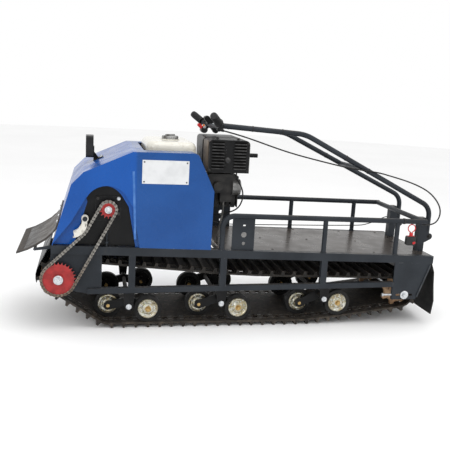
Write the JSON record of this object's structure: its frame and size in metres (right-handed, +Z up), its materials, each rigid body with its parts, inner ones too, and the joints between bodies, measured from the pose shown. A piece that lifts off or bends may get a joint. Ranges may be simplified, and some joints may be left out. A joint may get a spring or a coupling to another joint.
{
  "type": "tracked snow tug",
  "caption": "Walk-behind tracked snow tug with an open engine, a chain drive, a cargo deck between hoops and a handle that folds on a hinge.",
  "frame": {"origin": "on the ground under the middle of the machine's overall box", "axes": "+X runs rearward along the machine, +Y to its right side, +Z up"},
  "size_m": [2.028, 0.6222, 1.0077],
  "materials": {
    "black_paint": "semi-gloss",
    "blue_paint": "gloss",
    "red_paint": "semi-gloss",
    "zinc": "satin",
    "chain_steel": "satin",
    "cast_dark": "rough",
    "cast_aluminium": "cast",
    "cream_paint": "gloss",
    "track_rubber": "matte",
    "tyre_rubber": "matte",
    "flap_rubber": "matte",
    "black_rubber": "matte",
    "tan_plastic": "matte",
    "white_plastic": "matte",
    "black_plastic": "matte",
    "red_plastic": "gloss",
    "plywood": "film-faced, glossy",
    "plate_white": "satin"
  },
  "bodies": {
    "chassis": {"air_filter": "black_plastic", "arm_brackets": "black_paint", "arm_pivot_tubes": "black_paint", "balance_arms": "black_paint", "big_sprocket": "red_paint", "cable_loop": "black_rubber", "carburettor": "cast_dark", "cargo_hoops": "black_paint", "chain": "chain_steel", "cross_members": "black_paint", "cylinder_head": "cast_dark", "deck_board": "plywood", "deck_cable": "black_rubber", "drive_panel": "black_paint", "drive_plates": "black_paint", "engine_block": "cast_aluminium", "engine_hose": "black_rubber", "flap_bracket": "black_paint", "frame_posts": "black_paint", "front_flap": "flap_rubber", "front_guard": "black_paint", "fuel_cap": "cast_aluminium", "fuel_tank": "cream_paint", "gusset_plates": "black_paint", "handle_posts": "black_paint", "headlamp": "black_plastic", "hood": "blue_paint", "hood_plate": "plate_white", "hoop_cross_tube": "black_paint", "kill_switch_clip": "red_plastic", "kill_switch_cord": "red_plastic", "lamp_bracket": "black_paint", "lower_tubes": "black_paint", "mud_flap": "black_rubber", "muffler_guard": "black_paint", "plug_lead": "black_rubber", "rear_slide_plates": "black_paint", "recoil_starter": "black_paint", "roller_bolts": "zinc", "roller_discs": "zinc", "roller_tyres": "tyre_rubber", "shafts_and_axle": "zinc", "small_sprocket": "red_paint", "tension_bolts": "zinc", "tensioner_arm": "black_paint", "tensioner_shoe": "white_plastic", "tow_hitch": "black_paint", "track": "track_rubber", "track_stars": "tan_plastic", "upper_rails": "black_paint"},
    "handle": {"control_box": "black_plastic", "handle_cross_tube": "black_paint", "handle_grips": "black_rubber", "handle_tubes": "black_paint", "handlebar": "black_paint", "lever_bracket": "black_paint", "red_switch": "red_plastic", "throttle_cable": "black_rubber"}
  },
  "joints": [
    {"name": "handle_fold", "type": "hinge", "parent": "chassis", "child": "handle", "pos_m": [0.99599, 0.00987, 0.434], "axis": [0, 1, 0], "range_deg": [0, 128], "deforming": ["cable_loop"]}
  ]
}
